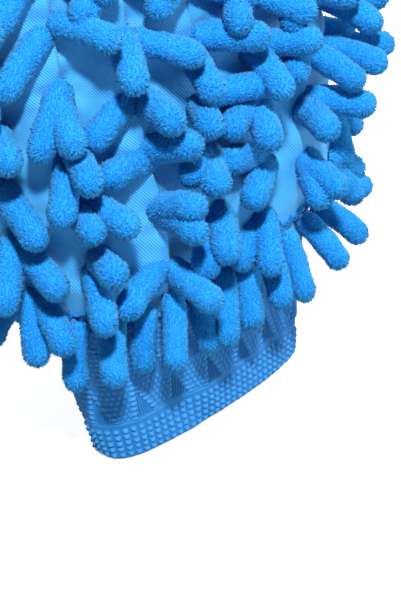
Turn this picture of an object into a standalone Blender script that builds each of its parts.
"""Chenille wash mitt: a knitted elastic cuff, a hollow two-panel pouch and rows of chenille fingers.

Metres, +Z up. The mitt stands on the rim of its cuff: the origin is the centre of that rim, +Z runs
from the cuff to the fingertips, and the front (palm) face looks along -Y.

Places round the mitt are given as f, the share of the way round from the left edge (-X):
0.25 is the middle of the front, 0.5 the right edge (+X) and 0.75 the middle of the back.
"""
import math
from bisect import bisect_right
from functools import lru_cache

import bmesh
import bpy
from mathutils import Vector

MM = 0.001
UP = Vector((0, 0, 1))
FACES = (("front", 0.0), ("back", 0.5))  # name, and the f at which the face starts
TO_FACE_MIDDLE = 0.25

# ---------------------------------------------------------------- dimensions, in millimetres
# Cuff: a flattened tube of two knit layers
CUFF_HALF_W = (52.0, 56.5)  # at the rim, and at the top of the flare
CUFF_HALF_T = (14.0, 20.5)
CUFF_FLARE_Z = 45.0
CUFF_POWER = 3.0            # how square the flattened tube is
CUFF_WALL = 1.5             # each knit layer
CUFF_GAP = 1.5              # between the layers, where the elastic runs
CUFF_DEPTH = 2 * CUFF_WALL + CUFF_GAP
CUFF_SEGMENTS = 40
CUFF_HEIGHTS = (0.0, 12.0, 24.0, 34.0, 40.0, 45.0, 50.0, 55.0, 60.0, 64.0)
CHANNEL_FLOOR_Z = 2.2
CHANNEL_HEIGHTS = (12.0, 24.0, 34.0)  # between its floor and its slit
SLIT_Z = (35.0, 36.4)       # where the channel opens to the inside of the cuff
SLIT_OVERRUN = 3.0          # how far the cutter reaches past the inner face
ELASTIC_R = 0.4
ELASTIC_Z = (5.0, 13.0, 21.0, 29.0)

# Neck: the cuff's rounded top, a solid of revolution about the wrist line
WRIST_Z = 60.0
NECK_R = 26.4
NECK_HALF_W = 59.4
NECK_POWER = 2.3
NECK_CLEAR = 0.7            # to the pouch's mouth
NECK_DROP = 15.0            # how far below the wrist line the roundness starts
NECK_BLEND_DROP = 26.0      # how far below it the tube starts to blend into the neck
NECK_FILL = 1.15            # growth of the filled-out sides per mm below the wrist line
NECK_WIDENING = 3.0         # half width at the wrist line, over that at the neck's start

OVERLOCK_RISE = -1.4        # middle of the neck seam, from the wrist line
OVERLOCK_OFFSET = 0.9       # and outwards from the pouch's mouth
OVERLOCK_SECTION = ((-0.8, 0.0), (0.0, -0.75), (0.8, 0.0), (0.0, 0.9))  # up, outwards

# Pouch: height, half width and half thickness of its outer face
SHELL = (
    (61.0, 61.8, 29.0), (65.0, 65.0, 30.0), (72.0, 69.5, 31.5), (84.0, 74.0, 33.4),
    (100.0, 77.0, 34.8), (125.0, 78.5, 35.6), (155.0, 79.0, 35.4), (185.0, 78.0, 34.0),
    (210.0, 75.0, 31.4), (230.0, 69.0, 27.6), (245.0, 60.5, 22.0), (256.0, 49.0, 14.6),
    (263.0, 37.0, 7.4), (267.0, 26.0, 1.4),
)
SHELL_BOTTOM, SHELL_TOP = SHELL[0][0], SHELL[-1][0]
SHELL_POWER = 2.3
OVAL_STEPS = 720            # chords used to measure the way round an oval

# Layers of the pouch: depths of both faces below its outer face
SHELL_DEPTHS = (0.0, 1.3)
WADDING_DEPTHS = (2.8, 7.2)
LINING_DEPTHS = (8.2, 9.3)
SHELL_HEIGHTS = (
    61.0, 65.0, 72.0, 84.0, 104.0, 135.0, 170.0, 200.0, 222.0, 238.0, 249.0, 257.0, 263.0, 267.0,
)
SOFT_HEIGHTS = (80.0, 104.0, 135.0, 170.0, 200.0, 222.0, 238.0, 248.0)

SEAM_HALF = 0.5             # half thickness of the folded seam allowance between the panels
SEAM_CLEAR = 0.4            # from the allowance to the shell panels' edges
SEAM_DEEP = 6.0
SEAM_HEIGHTS = (68.0,) + SHELL_HEIGHTS[2:]  # it starts above the cuff's rounded top
# Crest of the seam: x as a share of the shell's top half width, height above the shell's top
SEAM_CREST = ((-0.5, 0.35), (0.0, 0.5), (0.5, 0.35))

# Chenille rows; steps and shifts round the pouch are shares of the way round
ROWS_A_SIDE = 7
ROW_STEP = 0.0700
ROW_SHIFT = -0.0200         # the middle row lies a little left of the face's middle
ROW_Z0, ROW_PITCH, ROW_COUNT = 93.0, 22.0, 7
ROW_OVERHANG = 4.0          # cord beyond the end fingers
STAGGER = 1.2               # left and right fingers of a pair, each way

# Chenille bands: the fringe over the cuff and the crown over the fingertips
BAND_OVERHANG = 0.014
BAND_FINGER_L = 23.0
FRINGE_STEP, FRINGE_COUNT = 0.0360, 12
FRINGE_Z = 71.0
FRINGE_LIFT = -74.0         # degrees above level
CROWN_STEP, CROWN_COUNT = 0.070, 6
CROWN_Z, CROWN_FALL = 251.0, 60.0  # height in the middle, fall per squared share
CROWN_LIFT = 38.0

FINGER_R = 4.7
FINGER_L = 24.0
FINGER_SIDES = 5
FINGER_ROOT_R = 1.15
FINGER_SWELL, FINGER_SWELL_R = 7.0, FINGER_R * 0.93  # from the root, radius there
FINGER_TAPER, FINGER_TIP_R = 5.0, FINGER_R * 0.52    # length of the taper, radius at the tip
FINGER_SPREAD = 30.0        # degrees left and right of the surface's normal
FINGER_DROOP = 15.0         # degrees
ANGLE_WOBBLE = 3.0          # degrees each way
LENGTH_WOBBLE = 1.2

CORD = (1.2, 3.4)           # sewn cord under the fingers, from and to above the shell
CORD_MIDDLE = (CORD[0] + CORD[1]) / 2
CORD_HALF = 1.6             # half width


# ---------------------------------------------------------------- outlines
def signed_power(value, power):
    return math.copysign(abs(value) ** power, value)


def oval_angle(f):
    return math.pi + 2 * math.pi * f


def superellipse(angle, half_w, half_t, power):
    return (
        signed_power(math.cos(angle), 2 / power) * half_w,
        signed_power(math.sin(angle), 2 / power) * half_t,
    )


@lru_cache(maxsize=None)
def measured_oval(half_w, half_t, power):
    """Points of a flattened oval and the length of the way round to each."""
    points = [
        superellipse(math.pi + 2 * math.pi * k / OVAL_STEPS, half_w, half_t, power)
        for k in range(OVAL_STEPS + 1)
    ]
    lengths = [0.0]
    for p, q in zip(points, points[1:]):
        lengths.append(lengths[-1] + math.dist(p, q))
    return points, lengths


def oval(half_w, half_t, power, f):
    """The point of a flattened oval at f, measured by length."""
    points, lengths = measured_oval(half_w, half_t, power)
    want = (f % 1.0) * lengths[-1]
    i = min(bisect_right(lengths, want) - 1, OVAL_STEPS - 1)
    t = (want - lengths[i]) / max(lengths[i + 1] - lengths[i], 1e-9)
    return tuple(p + (q - p) * t for p, q in zip(points[i], points[i + 1]))


def pouch_size(z):
    """Half width and half thickness of the pouch at a height, by a cubic curve through SHELL."""
    z = min(max(z, SHELL_BOTTOM), SHELL_TOP)
    i = max(k for k in range(len(SHELL) - 1) if SHELL[k][0] <= z)
    low, high = SHELL[i], SHELL[i + 1]
    before, after = SHELL[max(i - 1, 0)], SHELL[min(i + 2, len(SHELL) - 1)]
    height = high[0] - low[0]
    t = (z - low[0]) / height
    size = []
    for k in (1, 2):
        low_slope = (high[k] - before[k]) / (high[0] - before[0])
        high_slope = (after[k] - low[k]) / (after[0] - low[0])
        size.append(
            (2 * t**3 - 3 * t**2 + 1) * low[k] + (t**3 - 2 * t**2 + t) * height * low_slope
            + (3 * t**2 - 2 * t**3) * high[k] + (t**3 - t**2) * height * high_slope
        )
    return size


def pouch_point(f, z):
    """A point of the pouch's outer face."""
    half_w, half_t = pouch_size(z)
    x, y = oval(half_w, half_t, SHELL_POWER, f)
    return Vector((x, y, z))


def pouch_normal(f, z):
    """The outward normal, from small steps round and up the pouch."""
    low, high = max(z - 1.0, SHELL_BOTTOM), min(z + 1.0, SHELL_TOP)
    around = pouch_point(f + 0.004, z) - pouch_point(f - 0.004, z)
    upward = pouch_point(f, high) - pouch_point(f, low)
    return around.cross(upward).normalized()


def neck_profile(share):
    return max(1 - abs(share) ** NECK_POWER, 0.0) ** (1 / NECK_POWER)


def neck_oval(rise, radius, half_w, f):
    """A level section of the neck at a height above the wrist line.

    Every x slice is a circle about that line. Below it the narrow sides are filled out.
    """
    if rise < 0:
        edge = half_w - NECK_WIDENING * min(-rise / NECK_DROP, 1.0)
    else:
        edge = half_w * neck_profile(rise / radius)
    angle = oval_angle(f)
    x = signed_power(math.cos(angle), 2 / NECK_POWER) * edge
    y = math.sqrt(max((radius * neck_profile(x / half_w)) ** 2 - rise**2, 0.0))
    if rise < 0:
        inset = NECK_R - radius
        full = math.sqrt(radius * radius - rise * rise) * neck_profile(x / edge)
        y = max(y, min(full, max(NECK_FILL * -rise - inset, 0.0)))
        if rise <= -NECK_DROP:
            y = min(y, full)
    return x, math.copysign(y, math.sin(angle))


def mix(p, q, share):
    return [a + (b - a) * share for a, b in zip(p, q)]


def cuff_ring(z, inset):
    """A loop round the cuff, inset from its outer face. Towards the top it becomes the neck."""
    flare = min(z / CUFF_FLARE_Z, 1.0)
    half_w = CUFF_HALF_W[0] + (CUFF_HALF_W[1] - CUFF_HALF_W[0]) * flare - inset
    half_t = CUFF_HALF_T[0] + (CUFF_HALF_T[1] - CUFF_HALF_T[0]) * flare - inset
    rise = z - WRIST_Z
    blend = (rise + NECK_BLEND_DROP) / (NECK_BLEND_DROP - NECK_DROP)
    blend = min(max(blend, 0.0), 1.0)
    blend = blend * blend * (3 - 2 * blend)
    ring = []
    for k in range(CUFF_SEGMENTS):
        f = k / CUFF_SEGMENTS
        point = oval(half_w, half_t, CUFF_POWER, f)
        if blend > 0:
            # go over to points spaced by angle, as the neck's are, before reaching the neck
            by_angle = superellipse(oval_angle(f), half_w, half_t, CUFF_POWER)
            neck = neck_oval(max(rise, -NECK_DROP), NECK_R - inset, NECK_HALF_W - inset, f)
            point = mix(mix(point, by_angle, min(blend * 2, 1)), neck, blend)
        ring.append(Vector((*point, z)))
    return ring


# ---------------------------------------------------------------- materials
SHEEN = 0.4


def material(name, colour, roughness):
    made = bpy.data.materials.new(name)
    made.use_nodes = True
    shader = made.node_tree.nodes["Principled BSDF"]
    shader.inputs["Base Color"].default_value = (*colour, 1.0)
    shader.inputs["Roughness"].default_value = roughness
    shader.inputs["Sheen Weight"].default_value = SHEEN
    return made


CHENILLE = material("chenille_blue", colour=(0.027, 0.314, 0.855), roughness=0.92)
CLOTH = material("backing_cloth_blue", colour=(0.045, 0.33, 0.80), roughness=0.62)
KNIT = material("cuff_knit_blue", colour=(0.035, 0.26, 0.72), roughness=0.80)
LINING = material("lining_blue", colour=(0.05, 0.25, 0.62), roughness=0.70)
FOAM = material("wadding_white", colour=(0.80, 0.82, 0.84), roughness=0.95)
RUBBER = material("elastic_white", colour=(0.82, 0.82, 0.80), roughness=0.60)
THREAD = material("thread_blue", colour=(0.02, 0.20, 0.62), roughness=0.70)

# ---------------------------------------------------------------- mesh helpers
SHARP_ANGLE = math.radians(50.0)


def mesh_object(name, points, faces, stuff):
    """A closed mesh from points in millimetres, its faces turned outwards."""
    mesh = bpy.data.meshes.new(name)
    bm = bmesh.new()
    verts = [bm.verts.new(Vector(p) * MM) for p in points]
    for face in faces:
        bm.faces.new([verts[i] for i in face])
    bmesh.ops.recalc_face_normals(bm, faces=bm.faces)
    if bm.calc_volume(signed=True) < 0:
        bmesh.ops.reverse_faces(bm, faces=bm.faces)
    bm.to_mesh(mesh)
    bm.free()
    mesh.shade_smooth()
    mesh.set_sharp_from_angle(angle=SHARP_ANGLE)
    mesh.materials.append(stuff)
    made = bpy.data.objects.new(name, mesh)
    bpy.context.scene.collection.objects.link(made)
    return made


def loft_faces(loops, base, joined):
    """Faces through a row of equal loops, joined end to end or capped. base: first point's index."""
    n, count = len(loops[0]), len(loops)
    faces = []
    for i in range(count if joined else count - 1):
        p, q = base + i * n, base + (i + 1) % count * n
        for k in range(n):
            m = (k + 1) % n
            faces.append((p + k, p + m, q + m, q + k))
    if not joined:
        for first in (base, base + (count - 1) * n):
            faces.append(tuple(range(first, first + n)))
    return faces


def lofted(name, solids, stuff, joined=False):
    """One object of several solids, each a row of section loops."""
    points, faces = [], []
    for loops in solids:
        faces += loft_faces(loops, len(points), joined)
        points += [p for loop in loops for p in loop]
    return mesh_object(name, points, faces, stuff)


def from_rings(name, rings, stuff):
    """A tube-like solid whose section is walked by rings that each run right round the mitt."""
    return lofted(name, [list(zip(*rings))], stuff, joined=True)


def cuff_solid(name, outline, stuff):
    """A solid round the cuff from its section, as heights and insets from the outer face."""
    return from_rings(name, [cuff_ring(z, inset) for z, inset in outline], stuff)


def combine(base, other, operation):
    """Applies a Boolean with other to base's mesh, and removes other."""
    modifier = base.modifiers.new("combine", "BOOLEAN")
    modifier.operation = operation
    modifier.solver = "EXACT"
    modifier.object = other
    graph = bpy.context.evaluated_depsgraph_get()
    made = bpy.data.meshes.new_from_object(base.evaluated_get(graph), depsgraph=graph)
    base.modifiers.clear()
    base.data = made
    bpy.data.objects.remove(other)


# ---------------------------------------------------------------- cuff
def build_cuff():
    """The double tube, with the channel between its layers and the channel's inner slit cut out."""
    outline = [(z, 0.0) for z in CUFF_HEIGHTS]
    outline += [(z, CUFF_DEPTH) for z in reversed(CUFF_HEIGHTS)]
    cuff = cuff_solid("cuff_knit_tube", outline, KNIT)

    slit_low, slit_high = SLIT_Z
    outer_side = (slit_high, *reversed(CHANNEL_HEIGHTS), CHANNEL_FLOOR_Z)
    inner_side = (CHANNEL_FLOOR_Z, *CHANNEL_HEIGHTS, slit_low)
    outline = [(z, CUFF_WALL) for z in outer_side]
    outline += [(z, CUFF_WALL + CUFF_GAP) for z in inner_side]
    outline += [(z, CUFF_DEPTH + SLIT_OVERRUN) for z in SLIT_Z]
    combine(cuff, cuff_solid("channel_cutter", outline, KNIT), "DIFFERENCE")


def build_elastics():
    middle = CUFF_WALL + CUFF_GAP / 2
    for i, z in enumerate(ELASTIC_Z):
        section = (
            (z - ELASTIC_R, middle), (z, middle - ELASTIC_R),
            (z + ELASTIC_R, middle), (z, middle + ELASTIC_R),
        )
        cuff_solid(f"cuff_elastic_{i + 1}", section, RUBBER)


def build_neck_seam():
    """The seam that joins the cuff to the pouch."""
    radius = NECK_R + NECK_CLEAR + OVERLOCK_OFFSET
    half_w = NECK_HALF_W + NECK_CLEAR + OVERLOCK_OFFSET
    rings = []
    for up, out in OVERLOCK_SECTION:
        rise = OVERLOCK_RISE + up
        rings.append([
            Vector((*neck_oval(rise, radius + out, half_w + out, k / CUFF_SEGMENTS), WRIST_Z + rise))
            for k in range(CUFF_SEGMENTS)
        ])
    from_rings("neck_seam_overlock", rings, THREAD)


# ---------------------------------------------------------------- pouch
def pouch_sheet(name, start, margin, steps, heights, depths, stuff, edge_y):
    """A thick curved panel over one face of the pouch.

    start is the f where the face starts, margin is left free at both edges, and edge_y keeps the
    panel that far from the seam plane.
    """
    side = -1.0 if start == 0.0 else 1.0
    f_low, f_high = start + margin, start + (0.5 - margin)
    places = [
        (f_low + (f_high - f_low) * i / steps, z) for z in heights for i in range(steps + 1)
    ]
    points = []
    for depth in depths:
        for f, z in places:
            p = pouch_point(f, z) + pouch_normal(f, z) * -depth
            p.y = side * max(side * p.y, edge_y)
            points.append(p)

    rows, columns = len(heights), steps + 1

    def at(layer, r, c):
        return layer * rows * columns + r * columns + c

    faces = []
    for r in range(rows - 1):
        for c in range(columns - 1):
            for layer in (0, 1):
                corners = ((r, c), (r, c + 1), (r + 1, c + 1), (r + 1, c))
                faces.append(tuple(at(layer, *corner) for corner in corners))
    for r in range(rows - 1):
        for c in (0, columns - 1):
            faces.append((at(0, r, c), at(0, r + 1, c), at(1, r + 1, c), at(1, r, c)))
    for c in range(columns - 1):
        for r in (0, rows - 1):
            faces.append((at(0, r, c), at(0, r, c + 1), at(1, r, c + 1), at(1, r, c)))
    mesh_object(name, points, faces, stuff)


def build_pouch_layers(face, start):
    pouch_sheet(
        f"shell_{face}_panel", start, margin=0.001, steps=18, heights=SHELL_HEIGHTS,
        depths=SHELL_DEPTHS, stuff=CLOTH, edge_y=SEAM_HALF + SEAM_CLEAR,
    )
    pouch_sheet(
        f"wadding_{face}", start, margin=0.012, steps=12, heights=SOFT_HEIGHTS,
        depths=WADDING_DEPTHS, stuff=FOAM, edge_y=2.2,
    )
    pouch_sheet(
        f"lining_{face}", start, margin=0.004, steps=12, heights=SOFT_HEIGHTS,
        depths=LINING_DEPTHS, stuff=LINING, edge_y=0.7,
    )


def build_side_seam():
    """The flat strip between the panels, up the left edge, over the top and down the right."""
    left = [(-pouch_size(z)[0], z) for z in SEAM_HEIGHTS]
    top_half_w = pouch_size(SHELL_TOP)[0]
    crest = [(top_half_w * share, SHELL_TOP + rise) for share, rise in SEAM_CREST]
    path = left + crest + [(-x, z) for x, z in reversed(left)]
    across = Vector((0, SEAM_HALF, 0))
    loops = []
    for i, (x, z) in enumerate(path):
        before_x, before_z = path[max(i - 1, 0)]
        after_x, after_z = path[min(i + 1, len(path) - 1)]
        run = Vector((after_x - before_x, 0, after_z - before_z)).normalized()
        outer = Vector((x, 0, z))
        deep = outer + Vector((run.z, 0, -run.x)) * SEAM_DEEP
        loops.append([outer - across, outer + across, deep + across, deep - across])
    lofted("side_seam_allowance", [loops], THREAD)


# ---------------------------------------------------------------- chenille
WOBBLE_FACTORS = (12.9898, 78.233, 37.719, 9.151)  # scatter the keys of wobble
WOBBLE_SCALE = 43758.5453


def wobble(*keys):
    """A fixed number from -1 to 1 for these keys, so that no two fingers are quite alike."""
    total = sum(key * factor for key, factor in zip(keys, WOBBLE_FACTORS))
    return 2 * ((math.sin(total) * WOBBLE_SCALE) % 1.0) - 1


def level_normal(f, z):
    normal = pouch_normal(f, z)
    return Vector((normal.x, normal.y, 0)).normalized()


def rightwards(level):
    """Level, and to the right as seen from outside."""
    return UP.cross(level).normalized()


def upwards(f, z):
    """Straight up the pouch's face."""
    normal = pouch_normal(f, z)
    return (UP - normal * normal.z).normalized()


def cord_section(f, z, across):
    base, normal = pouch_point(f, z), pouch_normal(f, z)
    low, high = base + normal * CORD[0], base + normal * CORD[1]
    half = across * CORD_HALF
    return [low - half, low + half, high + half, high - half]


def finger(f, z, direction, length):
    """Section loops of a finger: a thin root that swells into a soft round-ended rod."""
    root = pouch_point(f, z) + pouch_normal(f, z) * CORD_MIDDLE
    direction = direction.normalized()
    side = direction.cross(UP).normalized()
    other_side = direction.cross(side).normalized()
    stations = (
        (0.0, FINGER_ROOT_R), (FINGER_SWELL, FINGER_SWELL_R),
        (length - FINGER_TAPER, FINGER_R), (length, FINGER_TIP_R),
    )
    angles = [2 * math.pi * k / FINGER_SIDES for k in range(FINGER_SIDES)]
    return [
        [
            root + direction * along + (side * math.cos(a) + other_side * math.sin(a)) * radius
            for a in angles
        ]
        for along, radius in stations
    ]


def add_fingers(cord, fingers):
    combine(cord, lofted("fingers", fingers, CHENILLE), "UNION")


def build_row(name, start, k):
    """A row of paired fingers on its upright cord, k rows to the right of the middle one."""
    f = start + TO_FACE_MIDDLE + ROW_SHIFT + k * ROW_STEP
    odd = k % 2
    shift = ROW_PITCH / 2 if odd else 0.0
    places = [ROW_Z0 - shift + i * ROW_PITCH for i in range(ROW_COUNT)]
    between = [(a + b) / 2 for a, b in zip(places, places[1:])]
    ends = [places[0] - ROW_OVERHANG, places[-1] + ROW_OVERHANG]
    sections = [
        cord_section(f, z, rightwards(level_normal(f, z))) for z in sorted(ends + places + between)
    ]
    row = lofted(name, [sections], CHENILLE)
    for turn in (-1, 1):  # left fingers, then right
        fingers = []
        for i, z in enumerate(places):
            z += STAGGER * turn * (-1 if odd else 1)
            level = level_normal(f, z)
            spread = math.radians(FINGER_SPREAD + ANGLE_WOBBLE * wobble(k, i, turn, 1.0))
            droop = math.radians(FINGER_DROOP + ANGLE_WOBBLE * wobble(k, i, turn, 2.0))
            out = level * math.cos(spread) + rightwards(level) * (turn * math.sin(spread))
            out = out * math.cos(droop) - UP * math.sin(droop)
            length = FINGER_L + LENGTH_WOBBLE * wobble(k, i, turn, 3.0)
            fingers.append(finger(f, z, out, length))
        add_fingers(row, fingers)


def build_band(name, start, step, count, height, lift):
    """Fingers along a cord across a face. height gives z from the share off the face's middle."""
    middle = start + TO_FACE_MIDDLE
    shares = [(i - (count - 1) / 2) * step for i in range(count)]
    cord_shares = [shares[0] - BAND_OVERHANG] + shares + [shares[-1] + BAND_OVERHANG]
    sections = []
    for share in cord_shares:
        f, z = middle + share, height(share)
        sections.append(cord_section(f, z, upwards(f, z)))
    band = lofted(name, [sections], CHENILLE)
    fingers = []
    for i, share in enumerate(shares):
        f, z = middle + share, height(share)
        angle = math.radians(lift + ANGLE_WOBBLE * wobble(i, lift, 5.0))
        out = level_normal(f, z) * math.cos(angle) + UP * math.sin(angle)
        fingers.append(finger(f, z, out, BAND_FINGER_L))
    add_fingers(band, fingers)


def fringe_height(share):
    return FRINGE_Z


def crown_height(share):
    return CROWN_Z - CROWN_FALL * share * share


def build_chenille(face, start):
    for number in range(1, ROWS_A_SIDE + 1):
        build_row(f"chenille_row_{face}_{number}", start, number - 1 - ROWS_A_SIDE // 2)
    build_band(
        f"chenille_fringe_{face}", start, FRINGE_STEP, FRINGE_COUNT, fringe_height, FRINGE_LIFT
    )
    build_band(f"chenille_crown_{face}", start, CROWN_STEP, CROWN_COUNT, crown_height, CROWN_LIFT)


# ---------------------------------------------------------------- the mitt
for old in list(bpy.data.objects):
    bpy.data.objects.remove(old)

build_cuff()
build_elastics()
build_neck_seam()
for face_name, face_start in FACES:
    build_pouch_layers(face_name, face_start)
build_side_seam()
for face_name, face_start in FACES:
    build_chenille(face_name, face_start)
